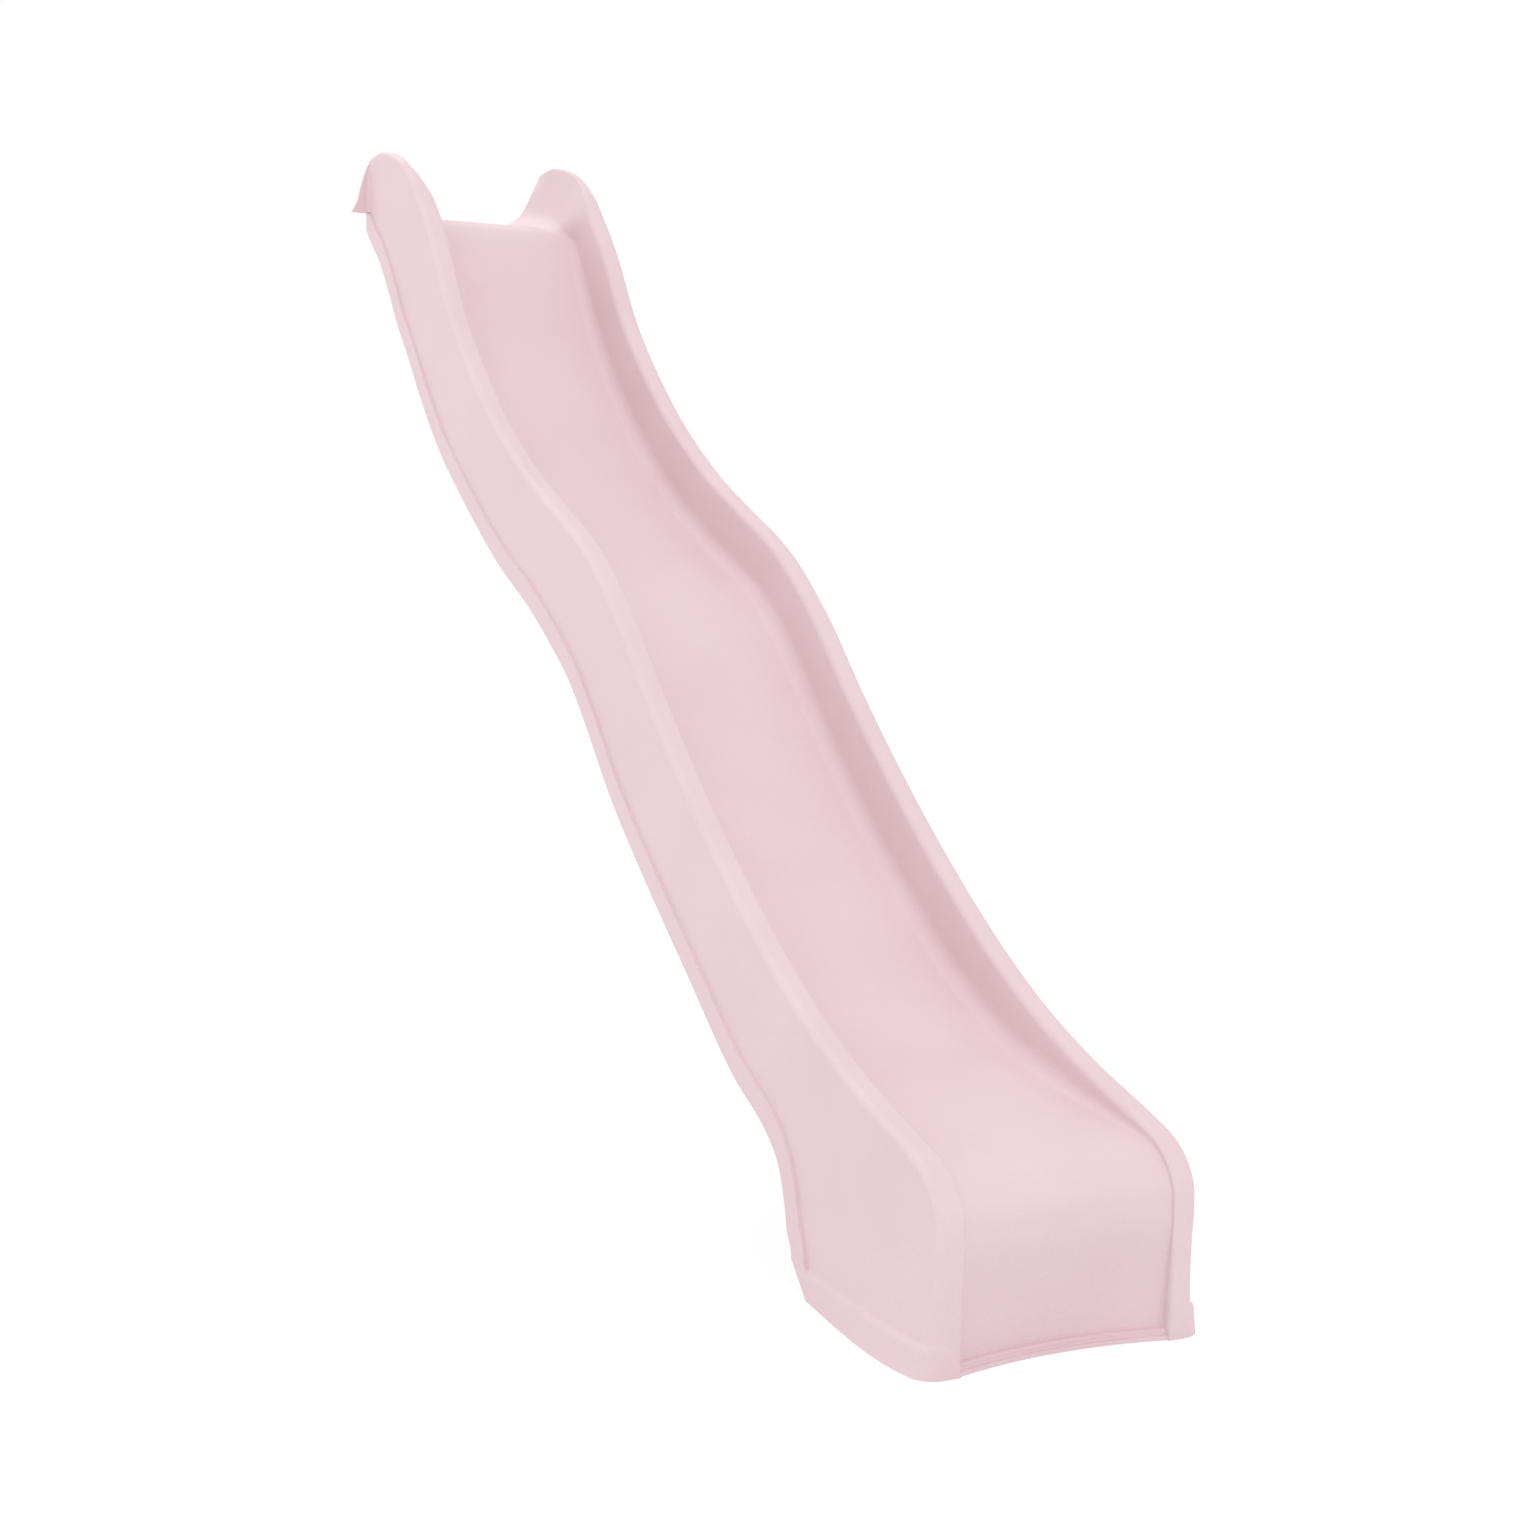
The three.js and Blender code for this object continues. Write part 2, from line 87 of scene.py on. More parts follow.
def rail_point(rail, share):
    """A point of the smooth curve through a rail's places, at a share of its length in places."""
    place = (len(rail) - 1) * share
    i = min(int(place), len(rail) - 1)
    t = place - i
    before, here = rail[max(i - 1, 0)], rail[i]
    after, beyond = rail[min(i + 1, len(rail) - 1)], rail[min(i + 2, len(rail) - 1)]
    leaving, arriving = (after - before) / 2, (beyond - here) / 2
    return (
        (here * 2 - after * 2 + leaving + arriving) * t**3
        + (after * 3 - here * 3 - leaving * 2 - arriving) * t**2
        + leaving * t
        + here
    )


def rail_normal(rail, share):
    reach = 1 / (len(rail) * 4)
    along = rail_point(rail, min(share + reach, 1)) - rail_point(rail, max(share - reach, 0))
    return Vector((along.y, -along.x)).normalized()


def corner_reach(share):
    i = min(int((len(rib_shares) - 1) * share), len(rib_shares) - 2)
    past = (len(rib_shares) - 1) * share - i
    return rib_shares[i][3] * (1 - past) + rib_shares[i + 1][3] * past


def slope_rib(share, depth):
    """A rib of the slope, as the rails' places there: depth zero on the face, deeper inside the wall."""
    upright = share == 0
    crest_out = Vector((0, 1)) if upright else rail_normal(crest_rail, share)
    bed_out = Vector((0, 1)) if upright else rail_normal(bed_rail, share)
    hem_inward = Vector((0, 1)) if upright else rail_normal(hem_rail, share)
    return {
        "face_crest": rail_point(crest_rail, share),
        "face_bed": rail_point(bed_rail, share),
        "crest": rail_point(crest_rail, share) - crest_out * depth,
        "bed": rail_point(bed_rail, share) - bed_out * depth,
        "hem": rail_point(hem_rail, share),
        "corner": corner_reach(share),
        "crest_out": crest_out,
        "hem_inward": hem_inward,
    }


# The foot, moulded in one with the slope, stands on its side panels and wings. Its riser sinks back between
# the wings towards the ground and is hollowed towards the middle. Two small ledges step forward from it
# along the ground, and the side panels belly out a little.
foot_depth = 0.299
foot_flare = 0.002
foot_belly = 0.020
foot_belly_height = 0.160
foot_belly_peak = 0.3
foot_joggle = 0.007
riser_recess = 0.0165
riser_bow = 0.018
riser_bow_height = 0.200
wing_top = platform_height * rib_shares[-1][0][1]
foot_levels = [
    # height and recess of the face, then of the wall's back
    (0.140, 0.0045, 0.140, 0.0095),
    (0.129, 0.0059, 0.129, 0.0109),
    (0.117, 0.0078, 0.117, 0.0128),
    (0.104, 0.0098, 0.104, 0.0148),
    (0.091, 0.0116, 0.091, 0.0166),
    (0.078, 0.0131, 0.078, 0.0181),
    (0.065, 0.0143, 0.065, 0.0193),
    (0.052, 0.0152, 0.052, 0.0202),
    (0.0405, 0.0158, 0.0405, 0.0208),
    (0.039, 0.0159, 0.039, 0.0209),
    (0.0375, 0.0160, 0.0375, 0.0210),
    (0.036, 0.0161, 0.036, 0.0211),
    (0.0345, 0.0162, 0.0345, 0.0212),
    (0.0327, 0.0163, 0.0327, 0.0213),
    (0.027, 0.0165, 0.027, 0.0215),
    (0.020, 0.0166, 0.0185, 0.0216),
    (0.0155, 0.0169, 0.0115, 0.0219),
    (0.0140, 0.0169, 0.0090, 0.0219),
    (0.0133, 0.0165, 0.0080, 0.0212),
    (0.0129, 0.0155, 0.0073, 0.0198),
    (0.0125, 0.0110, 0.0067, 0.0158),
    (0.0121, 0.0094, 0.0061, 0.0145),
    (0.0112, 0.0086, 0.0054, 0.0138),
    (0.0080, 0.0088, 0.0043, 0.0139),
    (0.0062, 0.0088, 0.0034, 0.0137),
    (0.0056, 0.0083, 0.0027, 0.0130),
    (0.0052, 0.0052, 0.0020, 0.0103),
    (0.0047, 0.0036, 0.0013, 0.0087),
    (0.0038, 0.0031, 0.0007, 0.0081),
    (0.0, 0.0030, 0.0, 0.0080),
]


def clamp_share(value):
    return min(max(value, 0), 1)


def smooth_share(value):
    share = clamp_share(value)
    return share * share * (3 - 2 * share)


def panel_half_width(y, z, hem_distance):
    """How far the outer wall stands from the chute's middle: flare, belly and stepped hem."""
    rearward = clamp_share(y / foot_depth)
    low = clamp_share(1 - z / foot_belly_height)
    swell = rearward ** (math.log(2) / -math.log(foot_belly_peak))
    belly = foot_belly * math.sin(math.pi * swell) * low * low
    step = smooth_share((hem_band + joggle - hem_distance) / joggle)
    ground_step = smooth_share((hem_band + foot_joggle - z) / foot_joggle)
    return outer_half + foot_flare * (1 - rearward) + belly + hem_step * max(step, ground_step)


def riser_hollow(y, z, across):
    low = clamp_share(1 - z / riser_bow_height)
    near = clamp_share(2 - y / riser_recess)
    return riser_bow * low * near * clamp_share(1 - (across / rim_inside_half) ** 2)


def foot_rib(level, depth):
    """A rib of the foot, which lies level: its crest is the wing's front and its bed is the riser."""
    face_z, face_recess, back_z, back_recess = level
    t = depth / wall
    z = face_z + (back_z - face_z) * t
    last_hem = hem_rail[-1]
    step_top = hem_band + foot_joggle
    above = clamp_share((face_z - step_top) / (wing_top - step_top))
    hem_z = face_z if above == 0 else step_top + (last_hem.y - step_top) * above
    return {
        "face_crest": Vector((0, face_z)),
        "face_bed": Vector((face_recess, face_z)),
        "crest": Vector((depth, z)),
        "bed": Vector((face_recess + (back_recess - face_recess) * t, z)),
        "hem": Vector((foot_depth + (last_hem.x - foot_depth) * hem_z / last_hem.y, hem_z)),
        "corner": corner_reach(1),
        "crest_out": Vector((-1, 0)),
        "hem_inward": Vector((-1, 0)).lerp(rail_normal(hem_rail, 1), above).normalized(),
    }


# Across a rib, the inner walls lean out at the mould's draft and are hollowed a little, and the rim between
# inner and outer wall is rounded on both sides. At the platform the mouth opens: the walls lean out further
# there and bend upright again towards the ears' tops, and the rim grows narrow.
wall_draft = 0.155
wall_hollow = 0.008
wall_hollow_rise = 0.066
mouth_length = 0.200
mouth_fade = 0.045
ear_lean = 0.53
ear_foot_half = 0.1125
ear_top_half = 0.162
rim_inner_radius = 0.007
rim_outer_radius = 0.010
foot_corner_radius = 0.032
shoulder_share = 0.8
least_radius = 0.0006
arc_weight = 0.74
bed_steps = 10
corner_steps = 7
wall_steps = 6
rim_steps = 5
rim_top_steps = 3
shoulder_steps = 7
panel_steps = 12
joggle_steps = 4
hem_steps = 3


def straight(start, end, steps):
    return [start.lerp(end, k / steps) for k in range(1, steps)]


def rounded_corner(start, corner, end, steps):
    places = []
    for k in range(steps + 1):
        t = k / steps
        shares = (1 - t) ** 2, arc_weight * 2 * t * (1 - t), t * t
        places.append((start * shares[0] + corner * shares[1] + end * shares[2]) / sum(shares))
    return places


def inner_outline(rib, depth, rise):
    """The bed's and the inner wall's places: how far across and how far up, for a rib of this rise."""
    mouth = smooth_share(1 + (mouth_length - run + rib["face_bed"].x) / mouth_fade)
    face_rise = (rib["face_crest"] - rib["face_bed"]).length
    lean = wall_draft + (ear_lean - wall_draft) * mouth
    foot_half = rim_inside_half - wall_draft * face_rise
    foot_half += (ear_foot_half - foot_half) * mouth
    top_half = foot_half + lean * face_rise
    bend = max(top_half - ear_top_half, 0)
    top_half -= bend
    bend -= wall_hollow * (1 - mouth) * min(face_rise / wall_hollow_rise, 1)
    narrowing = min((outer_half - top_half) / rim_width, 1)
    foot_half, top_half = foot_half + depth, top_half + depth
    corner = min(rib["corner"] + depth, rise / 2)
    radius = max(min(rim_inner_radius * narrowing, face_rise / 3) - depth, least_radius)

    def wall_place(height):
        share = height / rise
        return Vector((foot_half + (top_half - foot_half + bend) * share - bend * share * share, height))

    corner_start, corner_end = Vector((foot_half - corner, 0)), wall_place(corner)
    rim_start, rim_end = wall_place(rise - radius), Vector((top_half + radius, rise))
    places = [Vector((0, 0))] + straight(Vector((0, 0)), corner_start, bed_steps)
    places += rounded_corner(corner_start, Vector((foot_half, 0)), corner_end, corner_steps)
    places += [wall_place(corner + (rise - radius - corner) * k / wall_steps) for k in range(1, wall_steps)]
    return places + rounded_corner(rim_start, Vector((top_half, rise)), rim_end, rim_steps)


def bed_and_inner_wall(rib, depth):
    crest, bed = rib["crest"], rib["bed"]
    rise = (crest - bed).length
    points = []
    for place in inner_outline(rib, depth, rise):
        level = bed.lerp(crest, place.y / rise)
        hollow = riser_hollow(level.x - depth, level.y, place.x)
        points.append(Vector((place.x, level.x + hollow, level.y)))
    return points


def rim_and_shoulder(rib, depth, inner_half):
    """The rim's top, from its inner rounding on, and the shoulder that turns into the outer wall."""
    low = clamp_share(1 - rib["face_crest"].y / wing_top)
    radius = rim_outer_radius + (foot_corner_radius - rim_outer_radius) * low
    shoulder = rib["face_crest"] - rib["crest_out"] * radius
    half = panel_half_width(shoulder.x, shoulder.y, foot_depth) - depth
    radius = max(min(radius - depth, (half - inner_half) * shoulder_share), least_radius)
    turn = rounded_corner(
        Vector((half - radius, 0)), Vector((half, 0)), Vector((half, radius)), shoulder_steps
    )
    points = []
    for place in straight(Vector((inner_half, 0)), turn[0], rim_top_steps) + turn:
        level = rib["crest"] - rib["crest_out"] * place.y
        points.append(Vector((place.x, level.x, level.y)))
    return points


def outer_wall(rib, depth, start):
    """The outer wall down from the shoulder, then the joggle outwards, then the hem's band."""
    hem, inward = rib["hem"], rib["hem_inward"]
    step_top = hem + inward * (hem_band + joggle)
    levels = [(start.lerp(step_top, k / panel_steps), foot_depth) for k in range(1, panel_steps + 1)]
    for k in range(1, joggle_steps + 1):
        hem_distance = hem_band + joggle * (1 - k / joggle_steps)
        levels.append((hem + inward * hem_distance, hem_distance))
    levels += [(hem + inward * hem_band * (1 - k / hem_steps), 0) for k in range(1, hem_steps + 1)]
    return [
        Vector((panel_half_width(level.x, level.y, hem_distance) - depth, level.x, level.y))
        for level, hem_distance in levels
    ]


def half_section(rib, depth):
    """A rib from the middle of the bed, up the inner wall, over the rim and down to the hem."""
    points = bed_and_inner_wall(rib, depth)
    points += rim_and_shoulder(rib, depth, points[-1].x)
    return points + outer_wall(rib, depth, Vector(points[-1].yz))


# The skin is laid out on these ribs as a sheet whose vertices lie on the moulding's face. It is thickened to
# the back of its wall, and the edges along its hems are eased, as they are after trimming.
rows_between_ribs = 9
edge_ease = 0.0012
edge_ease_segments = 3
sharp_angle = math.radians(38)


def skin(depth):
    """The skin's rows, from hem to hem, for its face (depth zero) or the back of its wall."""
    count = (len(rib_shares) - 1) * rows_between_ribs
    ribs = [slope_rib(i / count, depth) for i in range(count + 1)]
    ribs += [foot_rib(level, depth) for level in foot_levels]
    rows = []
    for rib in ribs:
        half = half_section(rib, depth)
        rows.append([Vector((-p.x, p.y, p.z)) for p in reversed(half[1:])] + half)
    return rows


def mesh_object(name, bm):
    mesh = bpy.data.meshes.new(name)
    bm.to_mesh(mesh)
    bm.free()
    mesh.shade_smooth()
    mesh.set_sharp_from_angle(angle=sharp_angle)
    piece = bpy.data.objects.new(name, mesh)
    bpy.context.scene.collection.objects.link(piece)
    return piece


def ease_edges(bm, edges, clamped):
    bmesh.ops.bevel(
        bm,
        geom=edges,
        offset=edge_ease,
        segments=edge_ease_segments,
        profile=0.5,
        affect="EDGES",
        material=-1,
        clamp_overlap=clamped,
    )


def moulded_skin():
    """A flat grid whose vertices are laid on the face, thickened to the wall's back, with its hems eased."""
    face, back = skin(0), skin(wall)
    last_row, last_column = len(face) - 1, len(face[0]) - 1
    bm = bmesh.new()
    bmesh.ops.create_grid(bm, x_segments=last_column, y_segments=last_row, size=0.5)
    row_of = bm.verts.layers.int.new("row")
    column_of = bm.verts.layers.int.new("column")
    for v in bm.verts:
        v[row_of] = round((v.co.y + 0.5) * last_row)
        v[column_of] = round((v.co.x + 0.5) * last_column)
    thick = bmesh.ops.extrude_face_region(bm, geom=bm.faces[:], use_keep_orig=True)["geom"]
    behind = {g for g in thick if isinstance(g, bmesh.types.BMVert)}
    for v in bm.verts:
        rows_there = back if v in behind else face
        v.co = rows_there[v[row_of]][v[column_of]] + Vector((0, wing_front_y, 0))
    bmesh.ops.recalc_face_normals(bm, faces=bm.faces[:])

    def on_hem(edge):
        a, b = edge.verts
        return a[column_of] == b[column_of] and a[column_of] in (0, last_column) and a[row_of] != b[row_of]

    ease_edges(bm, [e for e in bm.edges if on_hem(e)], True)
    return mesh_object("chute", bm)


chute = moulded_skin()


# At the platform the skin ends in a flat flange on each ear, which bears on a post, and in the lip that
# lies on the deck. They are one with the skin, so they are joined to it, and the lip is drilled.
flange_foot = 0.034
flange_lift = 0.002
flange_shares = [(0.88, 0.07), (0.70, 0.29), (0.45, 0.50), (0.20, 0.69), (0.0, 1.0)]
flange_steps = 24
flange_eased_from = outer_half - 0.004
flange_root = 0.010
root_shares = [(0.013, 1), (0.2, 1), (0.4, 0.92), (0.55, 0.78), (0.68, 0.6), (0.78, 0.4), (0.86, 0.15)]
root_sunk = 0.0017
root_bite = 0.0002
lip_top = platform_height + wall
lip_reach = 0.080
lip_half = 0.118
lip_corner_radius = 0.016
lip_eased_from = platform_edge_y + 0.001
turn_steps = 8
ear_height = platform_height * rib_shares[0][0][1] - lip_top
screw_row = 0.048
screw_columns = (-0.09, -0.03, 0.03, 0.09)
screw_places = [Vector((x, platform_edge_y + screw_row, 0)) for x in screw_columns]
screw_bore = 0.004
bore_sides = 40
bore_cut = 0.04


def quarter_turn(steps):
    return [math.pi / 2 * k / steps for k in range(steps + 1)]


def plate(name, outline, thickness, eased):
    """A flat plate extruded from its outline, with the edges of the named outline sides eased."""
    bm = bmesh.new()
    bm.faces.new([bm.verts.new(point) for point in outline])
    grown = bmesh.ops.extrude_face_region(bm, geom=bm.faces[:], use_keep_orig=True)["geom"]
    bmesh.ops.translate(bm, verts=[g for g in grown if isinstance(g, bmesh.types.BMVert)], vec=thickness)
    bmesh.ops.recalc_face_normals(bm, faces=bm.faces[:])
    along = thickness.normalized()

    def on_outline(edge):
        a, b = edge.verts
        return abs((a.co - b.co).normalized().dot(along)) < 0.5

    soft = [e for e in bm.edges if on_outline(e) and all(eased(v.co) for v in e.verts)]
    ease_edges(bm, soft, False)
    return mesh_object(name, bm)


def flange_plate(side):
    """The flange and, in one with it, the web that closes the ear's hollow at the platform's edge."""
    rib = slope_rib(0, wall / 2)
    inner = bed_and_inner_wall(rib, wall / 2)
    ear = inner[bed_steps:] + rim_and_shoulder(rib, wall / 2, inner[-1].x)
    foot = lip_top + flange_lift
    free = [Vector((ear[-1].x, ear[-1].z))]
    free += [
        Vector((outer_half + flange_foot * reach, foot + (ear_height - flange_lift) * height))
        for height, reach in flange_shares
    ]
    outline = [Vector((p.x, p.z)) for p in ear[:-1]]
    outline += [rail_point(free, k / flange_steps) for k in range(flange_steps + 1)]
    outline += [Vector((outer_half - wall, foot)), Vector((lip_half, lip_top - wall / 2))]
    return plate(
        "flange",
        [Vector((side * p.x, platform_edge_y, p.y)) for p in outline],
        Vector((0, -wall, 0)),
        lambda co: abs(co.x) > flange_eased_from,
    )


def flange_fillet(side):
    """The hollow rounding between the flange's face and the ear's outer wall, dying out towards the top."""
    face_y = platform_edge_y - wall

    def outline(z, radius):
        hollow = [
            Vector((radius * (1 - math.sin(a)) - root_bite, root_bite - radius * (1 - math.cos(a))))
            for a in quarter_turn(turn_steps)
        ]
        places = [Vector((-root_sunk, root_sunk)), Vector((hollow[0].x, root_sunk))]
        places += hollow + [Vector((-root_sunk, hollow[-1].y))]
        return [Vector((side * (outer_half + p.x), face_y + p.y, z)) for p in places]

    bm = bmesh.new()
    levels = [
        (lip_top + flange_lift + ear_height * height, flange_root * size) for height, size in root_shares
    ]
    rings = [[bm.verts.new(point) for point in outline(*level)] for level in levels]
    loops = [[bm.edges.new((ring[k - 1], ring[k])) for k in range(len(ring))] for ring in rings]
    for lower, upper in zip(loops, loops[1:]):
        bmesh.ops.bridge_loops(bm, edges=lower + upper)
    for end in (rings[0], rings[-1]):
        bm.faces.new(end)
    bmesh.ops.recalc_face_normals(bm, faces=bm.faces[:])
    return mesh_object("flange_fillet", bm)


def lip_plate():
    end = run + lip_reach
    turns = [
        Vector((lip_half - lip_corner_radius, end - lip_corner_radius))
        + Vector((math.cos(a), math.sin(a))) * lip_corner_radius
        for a in quarter_turn(turn_steps)
    ]
    half = [Vector((lip_half, run - wall))] + turns
    outline = half + [Vector((-p.x, p.y)) for p in reversed(half)]
    return plate(
        "lip",
        [Vector((p.x, p.y + wing_front_y, lip_top)) for p in outline],
        Vector((0, 0, -wall)),
        lambda co: co.y > lip_eased_from,
    )


def hole_cutter():
    bm = bmesh.new()
    for place in screw_places:
        bmesh.ops.create_cone(
            bm,
            cap_ends=True,
            segments=bore_sides,
            radius1=screw_bore,
            radius2=screw_bore,
            depth=bore_cut,
            matrix=Matrix.Translation(place + Vector((0, 0, lip_top))),
        )
    return mesh_object("holes", bm)


def combine(piece, other, operation):
    """Joins the other mesh to a piece or cuts it out, and takes the other away."""
    step = piece.modifiers.new("combine", "BOOLEAN")
    step.operation = operation
    step.solver = "EXACT"
    step.object = other
    bpy.context.view_layer.update()
    done = bpy.data.meshes.new_from_object(piece.evaluated_get(bpy.context.evaluated_depsgraph_get()))
    piece.modifiers.clear()
    piece.data = done
    bpy.data.objects.remove(other)


def dress(piece):
    """Takes out the slivers that the joins leave, and shades flats flat and roundings round."""
    sliver = 0.00002
    bm = bmesh.new()
    bm.from_mesh(piece.data)
    bmesh.ops.dissolve_degenerate(bm, edges=bm.edges[:], dist=sliver)
    bm.to_mesh(piece.data)
    bm.free()
    piece.data.shade_smooth()
    piece.data.set_sharp_from_angle(angle=sharp_angle)
    even = piece.modifiers.new("even", "WEIGHTED_NORMAL")
    even.keep_sharp = True


for side in (-1, 1):
    combine(chute, flange_plate(side), "UNION")
    combine(chute, flange_fillet(side), "UNION")
combine(chute, lip_plate(), "UNION")
combine(chute, hole_cutter(), "DIFFERENCE")
dress(chute)


# The plastic is through-coloured and has the fine pebble of the mould's grit-blasted inside, with a soft
# satin sheen. Its colour varies by a hair over a hand's width, as pigment does in moulding powder.
chute_pink = (0.798, 0.620, 0.650, 1)
chute_pink_deep = (0.768, 0.578, 0.610, 1)
chute_pebble_scale = 520
chute_pebble_depth = 0.0006
cloud_scale = 7
pigment_scale = 420
tint_span = (0.36, 0.64)
satin_roughness = (0.46, 0.60)


def feed(tree, node, inputs):
    """Sets a node's inputs, each to a value or to another node's output."""
    for name, value in inputs.items():
        if isinstance(value, bpy.types.NodeSocket):
            tree.links.new(value, node.inputs[name])
        else:
            node.inputs[name].default_value = value
    return node.outputs


def noise(tree, vector, scale, detail, roughness=0.5):
    node = tree.nodes.new("ShaderNodeTexNoise")
    inputs = {"Vector": vector, "Scale": scale, "Detail": detail, "Roughness": roughness}
    return feed(tree, node, inputs)["Fac"]


def coloured(tree, value, span, low_colour, high_colour):
    """Turns the span of a noise into a blend of two colours."""
    node = tree.nodes.new("ShaderNodeValToRGB")
    first, second = node.color_ramp.elements
    first.position, second.position = span
    first.color, second.color = low_colour, high_colour
    return feed(tree, node, {"Fac": value})["Color"]


def spread(tree, value, limits):
    """Spreads the middle of a noise between two limits."""
    low, high = limits
    node = tree.nodes.new("ShaderNodeMapRange")
    inputs = {"Value": value, "From Min": 0.3, "From Max": 0.7, "To Min": low, "To Max": high}
    return feed(tree, node, inputs)["Result"]


def relief(tree, height, strength, distance):
    node = tree.nodes.new("ShaderNodeBump")
    return feed(tree, node, {"Height": height, "Strength": strength, "Distance": distance})["Normal"]


def moulded_plastic(name, pale, deep, pebble_scale, pebble_depth):
    material = bpy.data.materials.new(name)
    material.use_nodes = True
    tree = material.node_tree
    place = tree.nodes.new("ShaderNodeTexCoord").outputs["Object"]
    clouds = noise(tree, place, cloud_scale, detail=3)
    pigment = noise(tree, place, pigment_scale, detail=4, roughness=0.7)
    pebbles = noise(tree, place, pebble_scale, detail=2)
    blend = tree.nodes.new("ShaderNodeMix")
    blend.data_type = "FLOAT"
    tint = feed(tree, blend, {"Factor": 0.5, "A": clouds, "B": pigment})["Result"]
    shader = {
        "Metallic": 0,
        "IOR": 1.5,
        "Specular IOR Level": 0.5,
        "Base Color": coloured(tree, tint, tint_span, deep, pale),
        "Roughness": spread(tree, tint, satin_roughness),
        "Normal": relief(tree, pebbles, 0.5, pebble_depth),
    }
    feed(tree, tree.nodes["Principled BSDF"], shader)
    return material


chute_plastic = moulded_plastic(
    "chute_polyethylene", chute_pink, chute_pink_deep, chute_pebble_scale, chute_pebble_depth
)
chute.data.materials.clear()
chute.data.materials.append(chute_plastic)
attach(chute, "root")
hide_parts("chute_shell")


# Each of the four screws that hold the lip down has a cup washer under its head: a small moulded dish, with
# a bore for the screw and an upright rim that the lid snaps over. It is turned here from its half profile.
cup_radius = 0.0104
cup_height = 0.0036
cup_floor = 0.0012
cup_wall = 0.0014
cup_bore = 0.0040
cup_edge = 0.0004
cup_fillet = 0.0005
snap_low = 0.0011
snap_high = 0.0009
snap_depth = 0.00015
cap_ease = 0.0003
seat_gap = 0.0003
cup_seat = lip_top + seat_gap
cap_sides = 64
merge_distance = 0.000002
cap_pink = (0.790, 0.605, 0.640, 1)
cap_pink_deep = (0.762, 0.566, 0.602, 1)
cap_pebble_scale = 900
cap_pebble_depth = 0.0002
cup_inside = cup_radius - cup_wall
cup_profile = [
    (cup_bore + cap_ease, 0),
    (cup_radius - cup_edge, 0),
    (cup_radius - cup_edge / 4, cup_edge / 4),
    (cup_radius, cup_edge),
    (cup_radius, cup_height - snap_low),
    (cup_radius - snap_depth, cup_height - snap_high),
    (cup_radius - snap_depth, cup_height - cup_edge),
    (cup_radius - cup_edge, cup_height),
    (cup_inside + cap_ease, cup_height),
    (cup_inside, cup_height - cap_ease),
    (cup_inside, cup_floor + cup_fillet),
    (cup_inside - cup_fillet * 0.3, cup_floor + cup_fillet * 0.3),
    (cup_inside - cup_fillet, cup_floor),
    (cup_bore + cap_ease, cup_floor),
    (cup_bore, cup_floor - cap_ease),
    (cup_bore, cap_ease),
]


def turned(name, profile, sides, place, height):
    """A piece turned about an upright axis from its closed half profile of radii and heights."""
    bm = bmesh.new()
    corners = [bm.verts.new((radius, 0, level)) for radius, level in profile]
    edges = [bm.edges.new(pair) for pair in zip(corners, corners[1:])]
    if profile[0][0] > 0:
        edges.append(bm.edges.new((corners[-1], corners[0])))
    bmesh.ops.spin(
        bm,
        geom=corners + edges,
        cent=(0, 0, 0),
        axis=(0, 0, 1),
        angle=math.tau,
        steps=sides,
        use_merge=True,
    )
    bmesh.ops.remove_doubles(bm, verts=bm.verts[:], dist=merge_distance)
    bmesh.ops.recalc_face_normals(bm, faces=bm.faces[:])
    bmesh.ops.translate(bm, verts=bm.verts[:], vec=(place.x, place.y, height))
    return mesh_object(name, bm)


cap_plastic = moulded_plastic(
    "cap_polypropylene", cap_pink, cap_pink_deep, cap_pebble_scale, cap_pebble_depth
)
for number, place in enumerate(screw_places, 1):
    cup = turned("cup", cup_profile, cap_sides, place, cup_seat)
    cup.data.materials.append(cap_plastic)
    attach(cup, "root")
    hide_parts(f"cup_washer_{number}")


# A low domed lid of the same plastic snaps over each cup washer, so that no screw head is left to catch on.
# Its dome runs out into an upright skirt whose lower edge is eased, and it is hollow and open underneath.
lid_radius = 0.012
lid_height = 0.0064
lid_wall = 0.0013
lid_skirt = 0.0022
lid_edge = 0.0004
lid_dome_share = 2 / 3.2
lid_dome_steps = 20


def lid_dome(radius, top):
    """The dome's half profile from its skirt to its middle, on the axis."""
    places = [
        (
            radius * math.cos(turn) ** lid_dome_share,
            lid_skirt + (top - lid_skirt) * math.sin(turn) ** lid_dome_share,
        )
        for turn in quarter_turn(lid_dome_steps)
    ]
    return places[:-1] + [(0, top)]


lid_outside = [(lid_radius - cap_ease, 0), (lid_radius, lid_edge)] + lid_dome(lid_radius, lid_height)
lid_bore = lid_radius - lid_wall
lid_inside = [(lid_bore + cap_ease, 0), (lid_bore, cap_ease)] + lid_dome(lid_bore, lid_height - lid_wall)
lid_profile = list(reversed(lid_inside)) + lid_outside
for number, place in enumerate(screw_places, 1):
    lid = turned("lid", lid_profile, cap_sides, place, cup_seat)
    lid.data.materials.append(cap_plastic)
    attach(lid, "root")
    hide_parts(f"cap_lid_{number}")


